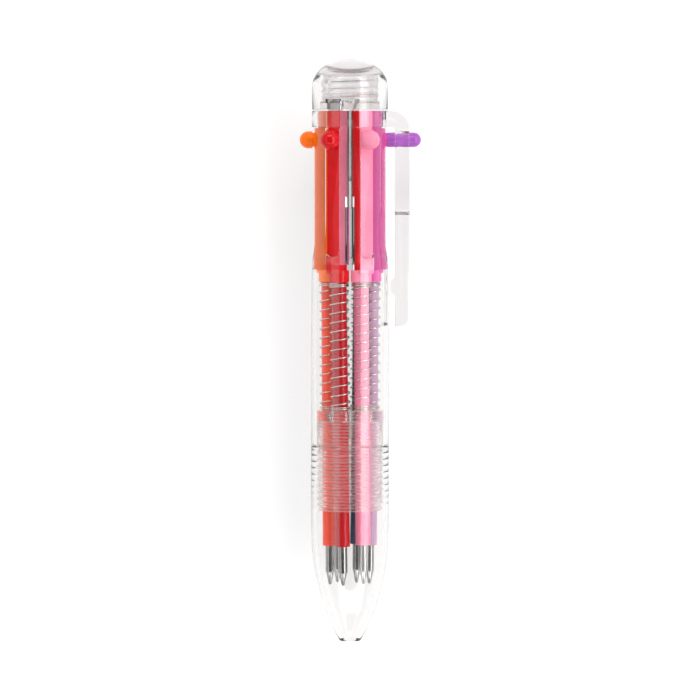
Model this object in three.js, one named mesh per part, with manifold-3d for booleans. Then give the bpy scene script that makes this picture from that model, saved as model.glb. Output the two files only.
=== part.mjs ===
// A click pen with six refills, lying down: dome end to +X, writing end to -X, clip to -Y.
// Every piece is drawn in the pen's own frame and the whole pen is then laid down.
// In that frame z runs up the pen from the rim of the nose, x points to the clip and angles
// turn from x, anticlockwise as seen from the dome end. All lengths are millimetres.
import * as THREE from 'three';
import { mergeVertices } from 'three/addons/utils/BufferGeometryUtils.js';
import Module from 'manifold-3d';

const wasm = await Module();
wasm.setup();

// Heights up the pen
const noseTop = 49.05;          // where the screwed nose ends
const barrelFoot = 49.35;       // where the barrel starts, 0.3 above it
const insertTop = 58;           // spring seat of the coupling insert
const insertFoot = 32.9;        // lower end of its threaded sleeve
const threadTop = 48.6;         // upper end of the nose thread
const footLow = 90;             // spring shoulder of a slider at rest
const ribFoot = 93.1;           // lower end of the guide ribs, which stops the sliders
const hubTop = 94.4;            // top of the hub that joins the ribs
const slotFoot = 96.35;         // round lower end of the slots
const postTop = 108.6;          // ledge that a pressed slider lands on
const stepHeight = 111.2;       // above it a blade never reaches the hub, and is deeper
const knobHeight = 125.4;       // centre of the knobs at rest
const barrelTop = 128.3;        // shoulder that carries the clip's collar
const ribTop = 132.6;           // top of the ribs inside the collar
const domeFoot = 132.95;
const domeShoulder = 138.55;    // where the dome starts to round over
const penLength = 145.8;

// Radii
const barrelRadius = 9.75;
const slotZoneRadius = 9.08;    // slimmer barrel where the sliders show
const boreRadius = 8.6;
const spigotRadius = 8.15;      // end of the barrel that the clip's collar sits on
const domeRadius = 9.5;
const refillCircle = 5.4;       // centre circle of the refills at the sliders
const nibCircle = 5.05;         // and at the nibs
const refillTwist = 9;          // degrees that the nib end is turned past the sliders
const tubeRadius = 1.83;
const nibRadius = 1.13;
const ballRadius = 0.36;
const holeRadius = 1.65;        // writing hole of the nose

// Guides and sliders
const slotWidth = 4;
const bladeWidth = 3.8;
const bladeInner = 4.4;
const bladeInnerHigh = 3.95;    // inner edge of a blade above the step
const bladeOuter = 8.2;
const bladeOuterHigh = 7.6;     // outer edge of a blade inside the spigot
const bladeTop = 132.4;
const travel = 16.5;            // stroke of a slider
const footRadius = 2.5;
const knobUnderside = 9.35;     // radius at which a knob overhangs its slot

// Clip
const clipInner = 11.2;
const clipOuter = 14.8;
const clipWidth = 7;
const clipEnd = 78.7;
const collarTop = 132.65;
const collarFoot = 128.55;

// One entry for each refill: direction, colour, size of the knob, and how far the refill
// happens to sit above the mean in its slider.
const colours = [
  { name: 'purple', angle: 0, paint: 0xb264c8, knobRadius: 1.84, knobEnd: 17.7, seat: -0.05 },
  { name: 'blue', angle: 60, paint: 0x3a4f78, knobRadius: 2.3, knobEnd: 12.4, seat: -0.15 },
  { name: 'green', angle: 120, paint: 0x1f7a68, knobRadius: 2.3, knobEnd: 12.4, seat: 0 },
  { name: 'orange', angle: 180, paint: 0xff6a10, knobRadius: 2.15, knobEnd: 12.55, seat: -0.1 },
  { name: 'red', angle: 240, paint: 0xcf1018, knobRadius: 2.42, knobEnd: 12.4, seat: -0.05 },
  { name: 'pink', angle: 300, paint: 0xff7fa6, knobRadius: 2.42, knobEnd: 12.4, seat: 0.35 },
];

const clearPlastic = { color: 0xf4f1f0, roughness: 0.08, metalness: 0, transparent: true, opacity: 0.35 };
const hazyPlastic = { color: 0xe9dfd2, roughness: 0.3, metalness: 0, transparent: true, opacity: 0.5 };
const steel = { color: 0xc9c9cc, roughness: 0.25, metalness: 1 };
const radians = THREE.MathUtils.degToRad;
const zAxis = new THREE.Vector3(0, 0, 1);

// A closed geometry as a solid that can be joined and cut.
function solid(geometry) {
  const bare = geometry.index ? geometry.toNonIndexed() : geometry;
  bare.deleteAttribute('normal');
  bare.deleteAttribute('uv');
  const merged = mergeVertices(bare, 1e-4);
  const corners = merged.index.array;
  const kept = [];
  for (let i = 0; i < corners.length; i += 3) {
    const [a, b, c] = corners.slice(i, i + 3);
    if (a !== b && b !== c && c !== a) kept.push(a, b, c);
  }
  const vertProperties = new Float32Array(merged.attributes.position.array);
  const triVerts = new Uint32Array(kept);
  return new wasm.Manifold(new wasm.Mesh({ numProp: 3, vertProperties, triVerts }));
}

function geometryOf(manifold) {
  const mesh = manifold.getMesh();
  const geometry = new THREE.BufferGeometry();
  geometry.setAttribute('position', new THREE.BufferAttribute(mesh.vertProperties, 3));
  geometry.setIndex(new THREE.BufferAttribute(mesh.triVerts, 1));
  geometry.computeVertexNormals();
  return geometry;
}

// The solid turned about z from an outline of [radius, height] points, listed up the outside.
function turned(outline, sides = 30) {
  const points = outline.map(([radius, height]) => new THREE.Vector2(radius, height));
  const geometry = new THREE.LatheGeometry(points, sides);
  geometry.rotateX(Math.PI / 2);
  return solid(geometry);
}

// A plain round rod about z.
function rod(radius, low, high, sides = 18) {
  return turned([[0, low], [radius, low], [radius, high], [0, high]], sides);
}

// A box from its low and high corners.
function block(low, high) {
  const size = high.map((value, i) => value - low[i]);
  const geometry = new THREE.BoxGeometry(...size);
  geometry.translate(...low.map((value, i) => value + size[i] / 2));
  return solid(geometry);
}

// A flat outline of [x, z] points given a width along y, centred on y = 0.
function plate(outline, width) {
  const shape = new THREE.Shape(outline.map(([x, z]) => new THREE.Vector2(x, z)));
  const geometry = new THREE.ExtrudeGeometry(shape, { depth: width, bevelEnabled: false });
  geometry.translate(0, 0, -width / 2);
  geometry.rotateX(Math.PI / 2);
  return solid(geometry);
}

function addPiece(parent, name, manifold, finish) {
  const mesh = new THREE.Mesh(geometryOf(manifold), new THREE.MeshStandardMaterial(finish));
  mesh.name = name;
  parent.add(mesh);
  return mesh;
}

// Points of an arc in an outline, from one angle to another, in degrees.
function arc(centre, radii, from, to, steps) {
  return Array.from({ length: steps + 1 }, (_, i) => {
    const angle = radians(from + ((to - from) * i) / steps);
    return [centre[0] + radii[0] * Math.cos(angle), centre[1] + radii[1] * Math.sin(angle)];
  });
}

// Sharp-edged rings that stand for a screw thread, as outline points up a rod.
function threadRings(rootRadius, crestRadius, low, high, pitch) {
  const count = Math.floor((high - low) / pitch);
  return Array.from({ length: count }, (_, i) => {
    const foot = low + i * pitch;
    return [
      [rootRadius, foot + 0.25 * pitch],
      [crestRadius, foot + 0.5 * pitch],
      [rootRadius, foot + 0.75 * pitch],
    ];
  }).flat();
}

// Clear hollow dome that closes the top end.
function domeCap() {
  const ceiling = 141.5;
  const cavityRadius = 7.9;
  const height = penLength - domeShoulder;
  return turned([
    [cavityRadius, domeFoot],
    [domeRadius, domeFoot],
    ...arc([0, domeShoulder], [domeRadius, height], 0, 90, 10),
    [0, ceiling],
    [cavityRadius, ceiling],
    [cavityRadius, domeFoot],
  ]);
}

// Threaded plug inside the dome. Its flange sits on the ribs and its long pointed pin
// hangs down the middle, between the sliders.
function topPlug() {
  const body = turned([
    [0, domeFoot],
    [7.5, domeFoot],
    [7.5, 135.2],
    [6.95, 135.4],
    ...threadRings(6.95, 7.4, 135.4, 141.2, 1.45),
    [6.95, 141.2],
    [5.6, 141.2],
    [5.6, 136.6],
    [0, 136.6],
  ]);
  const pin = turned([
    [0, 115],
    [0.35, 115],
    [1.15, 116.6],
    [1.15, 130.6],
    [2.3, 131.4],
    [2.3, domeFoot + 0.5],
    [0, domeFoot + 0.5],
  ], 24);
  return body.add(pin);
}

// Collar of the clip, clamped between the barrel's shoulder and the dome, with the solid
// shoulder that the springy arm grows from.
function clipCollar() {
  const innerRadius = 8.45;
  const ring = turned([
    [innerRadius, collarFoot],
    [domeRadius, collarFoot],
    [domeRadius, collarTop],
    [innerRadius, collarTop],
    [innerRadius, collarFoot],
  ]);
  const shoulder = plate([
    [9, collarFoot],
    [clipOuter, collarFoot],
    ...arc([9.5, collarFoot], [clipOuter - 9.5, collarTop - collarFoot], 0, 90, 8).slice(1),
    [9, collarTop],
  ], clipWidth);
  return ring.add(shoulder.subtract(rod(domeRadius - 0.3, collarFoot - 1, collarTop + 1, 30)));
}

// Springy arm of the clip: a slot lets the long knob through, and a bump grips the pocket.
function clipArm() {
  const armTop = collarFoot - 0.3;
  const bumpTip = 10.05;
  const arm = plate([
    [clipInner, clipEnd + 0.6],
    [clipInner + 0.4, clipEnd],
    [clipOuter - 1.2, clipEnd + 0.3],
    [clipOuter - 0.4, clipEnd + 1],
    [clipOuter - 0.25, 90],
    [clipOuter, 96],
    [clipOuter, armTop],
    [clipInner, armTop],
    [clipInner, 91.2],
    [bumpTip + 0.3, 90.1],
    [bumpTip, 89],
    [bumpTip, 88.4],
    [bumpTip + 0.3, 87.2],
    [clipInner, 86.1],
  ], clipWidth);
  const slotLow = knobHeight - travel - 2.3;
  const slotHigh = knobHeight + 2.2;
  const half = slotWidth / 2 + 0.1;
  const slot = block([clipInner - 1, -half, slotLow], [clipOuter + 1, half, slotHigh]);
  return arm.subtract(slot);
}

// Upper barrel: a clear tube whose slimmer top end has six slots. Wedge-shaped ribs inside
// it part the sliders, and a hub joins the ribs at their lower end.
function upperBarrel() {
  let barrel = turned([
    [0, barrelFoot],
    [barrelRadius, barrelFoot],
    [barrelRadius, 74],
    [9.67, 85],
    [9.55, 95],
    [9.37, 97],
    [9.14, 99],
    [slotZoneRadius, 100.5],
    [slotZoneRadius, barrelTop],
    [spigotRadius, barrelTop],
    [spigotRadius, ribTop],
    [0, ribTop],
  ]);
  barrel = barrel.subtract(rod(boreRadius, barrelFoot - 1, ribFoot, 30));
  barrel = barrel.subtract(rod(4.95, hubTop, postTop, 24));
  barrel = barrel.subtract(rod(4.45, postTop - 1, ribTop + 1, 24));
  barrel = barrel.subtract(rod(1.2, ribFoot - 1, hubTop + 1, 16));
  const half = slotWidth / 2;
  const guide = block([bladeInner - 0.2, -half, ribFoot - 1], [bladeOuter + 0.2, half, ribTop + 1]);
  const channel = guide.add(block([bladeInnerHigh - 0.2, -half, hubTop], [bladeInner, half, ribTop + 1]));
  const slotBody = block([bladeInner + 1, -half, slotFoot + half], [12, half, ribTop + 1]);
  const slotEnd = rod(half, bladeInner + 1, 12, 20).rotate([0, 90, 0]).translate([0, 0, slotFoot + half]);
  const opening = channel.add(slotBody).add(slotEnd);
  for (const { angle } of colours) barrel = barrel.subtract(opening.rotate([0, 0, angle]));
  return barrel;
}

// Clear post that stands on the hub; its top is the ledge for a pressed slider.
function guidePost() {
  const foot = hubTop + 0.3;
  return turned([
    [0, foot],
    [1.9, foot],
    [1.9, foot + 0.7],
    [1.3, foot + 0.9],
    [1.3, postTop - 0.3],
    [1, postTop],
    [0, postTop],
  ], 24);
}

// Point on a refill's straight line at a height up the pen.
function refillPoint(angle, height) {
  const topHeight = footLow + 1.9;
  const nibHeight = 24.1;
  const top = new THREE.Vector3(refillCircle, 0, topHeight).applyAxisAngle(zAxis, radians(angle));
  const low = new THREE.Vector3(nibCircle, 0, nibHeight).applyAxisAngle(zAxis, radians(angle + refillTwist));
  return low.lerp(top, (height - nibHeight) / (topHeight - nibHeight));
}

// Hazy insert pressed into the barrel: a flange with six holes is the springs' seat, and
// its threaded sleeve takes the nose. A short pin hangs from the flange.
function couplingInsert() {
  const flangeFoot = 55.5;
  const sleeveInner = 7.3;
  const rootRadius = 7.9;
  const seatRadius = boreRadius - 0.25;
  let insert = turned([
    [sleeveInner, insertFoot],
    [rootRadius - 0.2, insertFoot],
    [rootRadius, insertFoot + 0.6],
    ...threadRings(rootRadius, 8.35, insertFoot + 0.6, threadTop, 1.6),
    [seatRadius, barrelFoot],
    [seatRadius, insertTop],
    [0, insertTop],
    [0, flangeFoot],
    [sleeveInner, flangeFoot],
    [sleeveInner, insertFoot],
  ]);
  const pin = turned([
    [0, 51.5],
    [0.7, 51.7],
    [1.1, 52.5],
    [1.1, flangeFoot + 0.5],
    [0, flangeFoot + 0.5],
  ], 16);
  insert = insert.add(pin);
  for (const { angle } of colours) {
    const centre = refillPoint(angle, (flangeFoot + insertTop) / 2);
    const hole = rod(2.1, flangeFoot - 1, insertTop + 1, 20).translate([centre.x, centre.y, 0]);
    insert = insert.subtract(hole);
  }
  return insert;
}

// Screwed nose: a thin clear shell that narrows to the writing hole.
function noseSection() {
  const boreTop = 8.62;
  return turned([
    [holeRadius, 0],
    [2.62, 0],
    [2.8, 0.2],
    [3.9, 2.3],
    [5.05, 4.9],
    [6.15, 7.45],
    [6.98, 10],
    [7.78, 12.55],
    [8.38, 15.1],
    [8.88, 17.65],
    [9.25, 20.2],
    [9.58, 22.75],
    [9.72, 27.85],
    [barrelRadius, 33],
    [barrelRadius, noseTop],
    [boreTop, noseTop],
    [boreTop, 32],
    [8.5, 29],
    [8.3, 22.75],
    [7.6, 17.65],
    [6.5, 12.55],
    [4.9, 7.45],
    [3.6, 4.6],
    [2.3, 2],
    [holeRadius, 1.1],
    [holeRadius, 0],
  ]);
}

// Slider in the colour of its refill: foot with a socket for the tube, blade in its guide,
// knob outside the slot and a small latch tooth that reaches in to the middle.
function slider(colour) {
  const half = bladeWidth / 2;
  const foot = rod(footRadius, footLow, ribFoot - 0.15).translate([refillCircle, 0, 0]);
  const blade = block([bladeInner, -half, ribFoot - 1.2], [bladeOuter, half, barrelTop - 0.3])
    .add(block([bladeInnerHigh, -half, stepHeight], [bladeOuterHigh, half, bladeTop]));
  const toothFoot = postTop + travel;
  const tooth = block([1.6, -0.6, toothFoot], [bladeInner + 0.5, 0.6, toothFoot + 1.5]);
  const lift = refillPoint(colour.angle, footLow).applyAxisAngle(zAxis, -radians(colour.angle));
  const socket = rod(2.02, footLow - 1, footLow + 2.2).translate([lift.x, lift.y, 0]);
  return foot.subtract(socket).add(blade).add(tooth).add(knob(colour));
}

// A knob turned about its own axis, which points out of the pen.
function knob({ knobRadius, knobEnd }) {
  const neckRadius = Math.min(1.75, knobRadius - 0.06);
  const roundness = Math.min(knobRadius, knobEnd - knobUnderside - 0.6);
  const stem = turned([
    [0, bladeOuter - 0.8],
    [neckRadius, bladeOuter - 0.8],
    [neckRadius, knobUnderside],
    [knobRadius - 0.04, knobUnderside + 0.1],
    ...arc([0, knobEnd - roundness], [knobRadius, roundness], 0, 90, 5),
  ], 16);
  return stem.rotate([0, 90, 0]).translate([0, 0, knobHeight]);
}

// The helix of a compression spring, with one closed turn at each end.
class SpringWire extends THREE.Curve {
  constructor(radius, low, high, turns, closedPitch) {
    super();
    Object.assign(this, { radius, low, high, turns, closedPitch });
  }

  getPoint(share, target = new THREE.Vector3()) {
    const turn = share * this.turns;
    const openPitch = (this.high - this.low - 2 * this.closedPitch) / (this.turns - 2);
    const opened = Math.min(Math.max(turn - 1, 0), this.turns - 2);
    const height = this.low + opened * openPitch + (turn - opened) * this.closedPitch;
    const angle = turn * 2 * Math.PI;
    return target.set(this.radius * Math.cos(angle), this.radius * Math.sin(angle), height);
  }
}

function springCoil() {
  const wireRadius = 0.18;
  const turns = 14.5;
  const wire = new SpringWire(2.26, insertTop + 0.5, footLow - 0.5, turns, 0.5);
  const section = new THREE.Shape(arc([0, 0], [wireRadius, wireRadius], 0, 240, 2)
    .map(([x, y]) => new THREE.Vector2(x, y)));
  const options = { steps: Math.round(turns * 8), extrudePath: wire, curveSegments: 1 };
  return solid(new THREE.ExtrudeGeometry(section, options));
}

// Ink tube of a refill, with a blind socket for the nib.
function refillTube(seat) {
  const low = 24.1 + seat;
  const tube = turned([
    [0, low],
    [tubeRadius - 0.1, low],
    [tubeRadius, low + 0.15],
    [tubeRadius, footLow + 1.7],
    [tubeRadius - 0.2, footLow + 1.9],
    [0, footLow + 1.9],
  ], 14);
  return tube.subtract(rod(1.45, low - 1, low + 3.6, 14));
}

// Metal nib: a shank pushed up the tube and a cone with a seat for the ball.
function nib(seat) {
  const tip = 14.75 + seat;
  const cone = turned([
    [0, tip + 0.5],
    [ballRadius + 0.05, tip],
    [0.5, tip],
    [0.6, tip + 0.9],
    [1, tip + 2.75],
    [nibRadius, tip + 2.85],
    [nibRadius, tip + 12.5],
    [0, tip + 12.5],
  ], 12);
  return cone.subtract(ball(seat, ballRadius + 0.05));
}

function ball(seat, radius = ballRadius) {
  const height = 14.75 + seat;
  return turned([
    [0, height - radius],
    ...arc([0, height], [radius, radius], -45, 45, 2),
    [0, height + radius],
  ], 8);
}

function buildPen() {
  const pen = new THREE.Group();
  addPiece(pen, 'dome_cap', domeCap(), clearPlastic);
  addPiece(pen, 'top_plug', topPlug(), clearPlastic);
  addPiece(pen, 'clip_collar', clipCollar(), clearPlastic);
  addPiece(pen, 'clip_arm', clipArm(), clearPlastic);
  addPiece(pen, 'upper_barrel', upperBarrel(), clearPlastic);
  addPiece(pen, 'guide_post', guidePost(), clearPlastic);
  addPiece(pen, 'coupling_insert', couplingInsert(), hazyPlastic);
  addPiece(pen, 'nose_section', noseSection(), clearPlastic);

  for (const colour of colours) {
    const { name, angle, paint, seat } = colour;
    const finish = { color: paint, roughness: 0.25, metalness: 0 };
    addPiece(pen, `slider_${name}`, slider(colour), finish).rotation.z = radians(angle);

    const line = new THREE.Group();
    const direction = refillPoint(angle, 100).sub(refillPoint(angle, 0)).normalize();
    line.position.copy(refillPoint(angle, 0));
    line.quaternion.setFromUnitVectors(zAxis, direction);
    addPiece(line, `spring_${name}`, springCoil(), steel);
    addPiece(line, `refill_tube_${name}`, refillTube(seat), finish);
    addPiece(line, `nib_${name}`, nib(seat), steel);
    addPiece(line, `nib_ball_${name}`, ball(seat), steel);
    pen.add(line);
  }
  return pen;
}

// Lay the pen down and put the origin under the middle of it, on the table.
function laidDown(pen) {
  const group = new THREE.Group();
  const clipWay = new THREE.Vector3(0, -1, 0);
  const tableWay = new THREE.Vector3(0, 0, -1);
  const domeWay = new THREE.Vector3(1, 0, 0);
  pen.setRotationFromMatrix(new THREE.Matrix4().makeBasis(clipWay, tableWay, domeWay));
  group.add(pen);
  group.updateMatrixWorld(true);
  const box = new THREE.Box3().setFromObject(pen, true);
  const middle = box.getCenter(new THREE.Vector3());
  pen.position.set(-middle.x, -middle.y, -box.min.z);
  return group;
}

export default laidDown(buildPen());
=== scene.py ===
import bmesh
import bpy
import numpy as np
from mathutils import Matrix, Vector


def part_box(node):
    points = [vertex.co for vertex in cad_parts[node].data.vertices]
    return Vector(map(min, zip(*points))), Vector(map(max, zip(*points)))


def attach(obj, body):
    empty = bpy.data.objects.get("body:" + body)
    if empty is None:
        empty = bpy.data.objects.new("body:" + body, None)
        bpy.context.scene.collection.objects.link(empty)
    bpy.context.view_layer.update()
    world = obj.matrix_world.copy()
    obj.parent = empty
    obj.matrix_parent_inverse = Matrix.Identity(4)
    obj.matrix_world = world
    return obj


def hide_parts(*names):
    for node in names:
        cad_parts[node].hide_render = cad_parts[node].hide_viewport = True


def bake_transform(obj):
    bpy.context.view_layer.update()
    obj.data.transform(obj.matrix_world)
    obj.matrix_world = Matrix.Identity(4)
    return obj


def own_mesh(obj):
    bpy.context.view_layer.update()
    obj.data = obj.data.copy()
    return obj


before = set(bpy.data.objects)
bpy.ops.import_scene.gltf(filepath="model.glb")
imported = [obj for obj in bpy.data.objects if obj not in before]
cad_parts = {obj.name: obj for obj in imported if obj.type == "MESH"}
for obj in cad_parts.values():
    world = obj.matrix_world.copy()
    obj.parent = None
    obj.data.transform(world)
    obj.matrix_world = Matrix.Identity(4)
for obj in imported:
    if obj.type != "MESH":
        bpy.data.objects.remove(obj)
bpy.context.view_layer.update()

# ---------------------------------------------------------------- Upper barrel
# The clear tube that the hand holds, injection moulded. Its slimmer top end has six slots
# for the knobs, and inside it wedge-shaped ribs part the sliders and meet in a small hub.

MM = 0.001
nose_low, nose_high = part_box("nose_section")
rim_x = nose_low[0]
axis_y = (nose_low[1] + nose_high[1]) / 2
axis_z = (nose_low[2] + nose_high[2]) / 2
SIDES = 240                 # facets round the clear shells


def up_pen(node, corner):
    """Height up the pen, in mm from the nose rim, of a CAD node's low (0) or high (1) end."""
    return (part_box(node)[corner][0] - rim_x) / MM


def laid(points):
    """Pen coordinates in mm (x to the clip, y to the table, z up from the rim) as row metres."""
    x, y, z = np.moveaxis(np.asarray(points, float), -1, 0)
    return np.stack([rim_x + z * MM, axis_y - x * MM, axis_z - y * MM], -1)


def spun(points, degrees):
    """Points turned about the pen's axis: x' = x cos a - y sin a and y' = x sin a + y cos a."""
    a = np.radians(degrees)
    x, y, z = np.moveaxis(np.asarray(points, float), -1, 0)
    return np.stack([x * np.cos(a) - y * np.sin(a), x * np.sin(a) + y * np.cos(a), z], -1)


def rounded(corners, closed=True, steps=5):
    """Outline through corners (a, b, radius). Each corner becomes an arc that touches both sides,
    its centre on their bisector at radius / sin(half the angle between them)."""
    count = len(corners)
    out = []
    for i, (a, b, radius) in enumerate(corners):
        here = np.array([a, b], float)
        if radius == 0 or (not closed and i in (0, count - 1)):
            out.append(here[None])
            continue
        back = np.array(corners[i - 1][:2], float) - here
        on = np.array(corners[(i + 1) % count][:2], float) - here
        back, on = back / np.linalg.norm(back), on / np.linalg.norm(on)
        half = np.arccos(np.clip(back @ on, -1, 1)) / 2
        centre = here + (back + on) / np.linalg.norm(back + on) * radius / np.sin(half)
        start = here + back * radius / np.tan(half) - centre
        end = here + on * radius / np.tan(half) - centre
        share = np.linspace(0, 1, steps + 1)[:, None]
        turn = np.arccos(np.clip(start @ end / radius**2, -1, 1))
        swung = np.sin((1 - share) * turn) * start + np.sin(share * turn) * end
        out.append(centre + swung / np.sin(turn))
    return np.vstack(out)


def grid_faces(rows, columns, loop_rows):
    """Quads of a grid whose columns close on themselves, and whose rows do if loop_rows."""
    bands = rows if loop_rows else rows - 1
    i, j = np.meshgrid(np.arange(bands), np.arange(columns), indexing="ij")
    i2, j2 = (i + 1) % rows, (j + 1) % columns
    quads = [i * columns + j, i2 * columns + j, i2 * columns + j2, i * columns + j2]
    return np.stack(quads, -1).reshape(-1, 4)


def turned(outline, sides=SIDES, ripple=None):
    """Surface of revolution of an outline (r, z): x = r cos a, y = r sin a, where
    ripple(a, r, z) is added to r. The outline loops, or starts and ends on the axis.
    Gives (points, faces)."""
    outline = np.asarray(outline, float)
    a = np.arange(sides) * 2 * np.pi / sides
    r = np.repeat(outline[:, :1], sides, 1)
    z = np.repeat(outline[:, 1:2], sides, 1)
    if ripple is not None:
        r = r + ripple(a[None], r, z)
    points = np.stack([r * np.cos(a), r * np.sin(a), z], -1)
    poles = outline[0, 0] == 0 and outline[-1, 0] == 0
    return points.reshape(-1, 3), grid_faces(len(outline), sides, not poles).tolist()


def loft(rows):
    """Closed skin over rows of outline points, shape (rows, points, 3), with flat end caps."""
    rows = np.asarray(rows, float)
    count, around = rows.shape[:2]
    faces = grid_faces(count, around, False).tolist()
    first = np.arange(around)
    faces += [first.tolist(), (first + (count - 1) * around).tolist()]
    return rows.reshape(-1, 3), faces


def together(parts):
    """Several (points, faces) as one."""
    starts = np.cumsum([0] + [len(p) for p, _ in parts])
    faces = [[corner + int(s) for corner in f] for (_, fs), s in zip(parts, starts) for f in fs]
    return np.vstack([p for p, _ in parts]), faces


def piece_of(name, shape):
    """Object from (points in pen mm, faces): doubles at seams and poles merged, faces out."""
    points, faces = shape
    mesh = bpy.data.meshes.new(name)
    mesh.from_pydata(laid(points).tolist(), [], faces)
    bm = bmesh.new()
    bm.from_mesh(mesh)
    bmesh.ops.remove_doubles(bm, verts=bm.verts, dist=0.0005 * MM)
    bmesh.ops.recalc_face_normals(bm, faces=bm.faces)
    bm.to_mesh(mesh)
    bm.free()
    piece = bpy.data.objects.new(name, mesh)
    bpy.context.scene.collection.objects.link(piece)
    return piece


def combine(piece, shape, operation):
    """Cuts shape from the piece, or adds it, by an exact boolean that is applied at once."""
    tool = piece_of("tool", shape)
    modifier = piece.modifiers.new("combine", "BOOLEAN")
    modifier.object, modifier.operation, modifier.solver = tool, operation, "EXACT"
    bpy.context.view_layer.update()
    solved = piece.evaluated_get(bpy.context.evaluated_depsgraph_get())
    mesh = bpy.data.meshes.new_from_object(solved)
    piece.modifiers.clear()
    piece.data = mesh
    bpy.data.objects.remove(tool)


def smooth(piece, crease=32):
    """Smooth shading, with edges sharper than crease degrees kept crisp."""
    piece.data.polygons.foreach_set("use_smooth", np.ones(len(piece.data.polygons), bool))
    piece.data.set_sharp_from_angle(angle=np.radians(crease))


def clear_plastic(name, tint, roughness, haze=0.0, density=40, streaks=0.0):
    """Moulded clear plastic that bends light as polystyrene does and darkens with depth. Noise in
    the roughness and a faint bump stand for flow marks; lamps' shadow rays pass, tinted. haze is
    the share of light that it scatters, and streaks sets how close its cloudy bands lie."""
    material = bpy.data.materials.new(name)
    material.use_nodes = True
    tree = material.node_tree
    tree.nodes.clear()
    out = tree.nodes.new("ShaderNodeOutputMaterial")
    shader = tree.nodes.new("ShaderNodeBsdfPrincipled")
    shader.inputs["Base Color"].default_value = (*tint, 1)
    shader.inputs["Transmission Weight"].default_value = 1.0
    shader.inputs["IOR"].default_value = 1.49
    where = tree.nodes.new("ShaderNodeTexCoord")
    flow = tree.nodes.new("ShaderNodeTexNoise")
    flow.inputs["Scale"].default_value = 160
    flow.inputs["Detail"].default_value = 3
    wear = tree.nodes.new("ShaderNodeMapRange")
    wear.inputs["From Min"].default_value = 0.35
    wear.inputs["From Max"].default_value = 0.75
    wear.inputs["To Min"].default_value = roughness
    wear.inputs["To Max"].default_value = roughness + 0.05
    bump = tree.nodes.new("ShaderNodeBump")
    bump.inputs["Strength"].default_value = 0.02
    bump.inputs["Distance"].default_value = 0.05 * MM
    tree.links.new(where.outputs["Object"], flow.inputs["Vector"])
    tree.links.new(flow.outputs["Fac"], wear.inputs["Value"])
    tree.links.new(wear.outputs["Result"], shader.inputs["Roughness"])
    tree.links.new(flow.outputs["Fac"], bump.inputs["Height"])
    tree.links.new(bump.outputs["Normal"], shader.inputs["Normal"])
    surface = shader.outputs["BSDF"]
    if haze:
        cloud = tree.nodes.new("ShaderNodeBsdfTranslucent")
        cloud.inputs["Color"].default_value = (*tint, 1)
        veil = tree.nodes.new("ShaderNodeMixShader")
        veil.inputs["Fac"].default_value = haze
        if streaks:
            # bands of deeper haze across the pen, as scuffed screw threads have
            band = tree.nodes.new("ShaderNodeTexWave")
            band.bands_direction = "X"
            band.inputs["Scale"].default_value = streaks
            band.inputs["Distortion"].default_value = 2.0
            band.inputs["Detail"].default_value = 2.0
            band.inputs["Detail Scale"].default_value = 1.5
            scuff = tree.nodes.new("ShaderNodeMapRange")
            scuff.inputs["From Min"].default_value = 0.45
            scuff.inputs["To Min"].default_value = haze
            scuff.inputs["To Max"].default_value = haze + 0.3
            tree.links.new(where.outputs["Object"], band.inputs["Vector"])
            tree.links.new(band.outputs["Fac"], scuff.inputs["Value"])
            tree.links.new(scuff.outputs["Result"], veil.inputs["Fac"])
        tree.links.new(surface, veil.inputs[1])
        tree.links.new(cloud.outputs["BSDF"], veil.inputs[2])
        surface = veil.outputs["Shader"]
    rays = tree.nodes.new("ShaderNodeLightPath")
    lit = tree.nodes.new("ShaderNodeBsdfTransparent")
    lit.inputs["Color"].default_value = tuple(0.5 + c / 2 for c in tint) + (1,)
    mix = tree.nodes.new("ShaderNodeMixShader")
    tree.links.new(rays.outputs["Is Shadow Ray"], mix.inputs["Fac"])
    tree.links.new(surface, mix.inputs[1])
    tree.links.new(lit.outputs["BSDF"], mix.inputs[2])
    tree.links.new(mix.outputs["Shader"], out.inputs["Surface"])
    depth = tree.nodes.new("ShaderNodeVolumeAbsorption")
    depth.inputs["Color"].default_value = (0.64, 0.60, 0.60, 1)
    depth.inputs["Density"].default_value = density
    tree.links.new(depth.outputs["Volume"], out.inputs["Volume"])
    return material


def done(piece, material, body, slot, *nodes):
    """Gives a finished piece its material, what it replaces and the body it rides on,
    which is None for a piece that bends between two bodies. slot is not used."""
    piece.data.materials.clear()
    piece.data.materials.append(material)
    if body:
        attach(piece, body)
    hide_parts(*nodes)


barrel_foot = up_pen("upper_barrel", 0)
rib_top = up_pen("upper_barrel", 1)
GRIP_RADIUS = 9.75
SLIM_RADIUS = 9.08
BORE = 8.6                  # radius of the plain tube below the ribs
SPIGOT = 8.15               # radius of the ribs' stub that the collar and plug sit on
RIB_FOOT = 93.1
HUB_TOP = 94.4
SLOT_FOOT = 96.35
SLOT_HALF = 2.0
SHOULDER = rib_top - 4.3
LEDGE = 108.6               # where the opening in the middle narrows
WELL_RADIUS = 4.95          # of that opening below the ledge
THROAT_RADIUS = 4.45        # and above it
BLADE_OUTER = 8.2
CLEAR_OF_END = 2            # how far a cutting shape stands past the end that it cuts
barrel_outline = np.vstack([
    [[0, barrel_foot]],
    rounded([(BORE - 0.4, barrel_foot, 0), (GRIP_RADIUS, barrel_foot, 0.18),
             (GRIP_RADIUS, 72, 60), (9.66, 86, 60), (9.5, 95.4, 4), (9.1, 99.2, 6),
             (SLIM_RADIUS, 101.5, 0), (SLIM_RADIUS, SHOULDER, 0.15), (SPIGOT, SHOULDER, 0.1),
             (SPIGOT, rib_top, 0.15), (0, rib_top, 0)], closed=False),
])
barrel = piece_of("upper_barrel_shell", turned(barrel_outline))


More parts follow.
